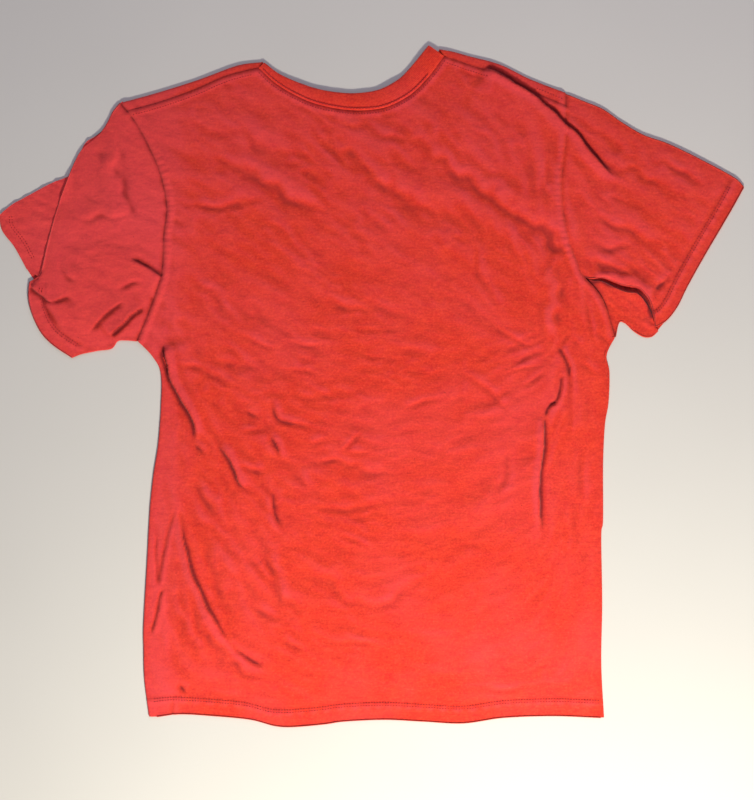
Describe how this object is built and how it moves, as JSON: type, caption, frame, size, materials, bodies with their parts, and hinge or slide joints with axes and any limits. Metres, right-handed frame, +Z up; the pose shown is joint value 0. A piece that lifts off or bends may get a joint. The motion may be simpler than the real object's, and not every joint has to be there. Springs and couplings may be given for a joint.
{
  "type": "crew-neck t-shirt",
  "caption": "Short-sleeved crew-neck cotton T-shirt in coral orange, lying flat with its back up; its sleeves fold over the back.",
  "frame": {"origin": "under the middle of the shirt's bounding box, on the surface it lies on", "axes": "+Z up out of the back of the shirt, +Y from the hem to the neck, +X across the shirt to the right as seen from above"},
  "size_m": [0.8179, 0.7513, 0.0105],
  "materials": {
    "jersey": "matte garment-dyed cotton jersey",
    "neck_rib": "matte 1x1 cotton rib",
    "neck_tape": "matte herringbone cotton tape",
    "seam_allowance": "matte overlocked jersey edge",
    "thread": "low-sheen sewing thread"
  },
  "bodies": {
    "torso": {"front_panel": "jersey", "back_panel": "jersey", "neck_rib": "neck_rib", "neck_tape": "neck_tape", "neck_stitch_on_rib": "thread", "neck_stitch_on_back": "thread", "bottom_hem": "jersey", "hem_stitch_upper": "thread", "hem_stitch_lower": "thread", "left_side_seam": "seam_allowance", "left_shoulder_seam": "seam_allowance", "left_armhole_seam": "seam_allowance", "left_sleeve_cap": "jersey", "right_side_seam": "seam_allowance", "right_shoulder_seam": "seam_allowance", "right_armhole_seam": "seam_allowance", "right_sleeve_cap": "jersey"},
    "left_sleeve_body": {"left_sleeve": "jersey", "left_sleeve_hem": "jersey", "left_sleeve_hem_stitch": "thread", "left_underarm_seam": "seam_allowance"},
    "right_sleeve_body": {"right_sleeve": "jersey", "right_sleeve_hem": "jersey", "right_sleeve_hem_stitch": "thread", "right_underarm_seam": "seam_allowance"}
  },
  "joints": [
    {"name": "left_sleeve_fold", "type": "hinge", "parent": "torso", "child": "left_sleeve_body", "pos_m": [-0.27528, 0.17993, 0.0115], "axis": [-0.0688, 0.9976, 0], "range_deg": [0, 170]},
    {"name": "right_sleeve_fold", "type": "hinge", "parent": "torso", "child": "right_sleeve_body", "pos_m": [0.24814, 0.18663, 0.0115], "axis": [0.1961, -0.9806, 0], "range_deg": [0, 170]}
  ]
}
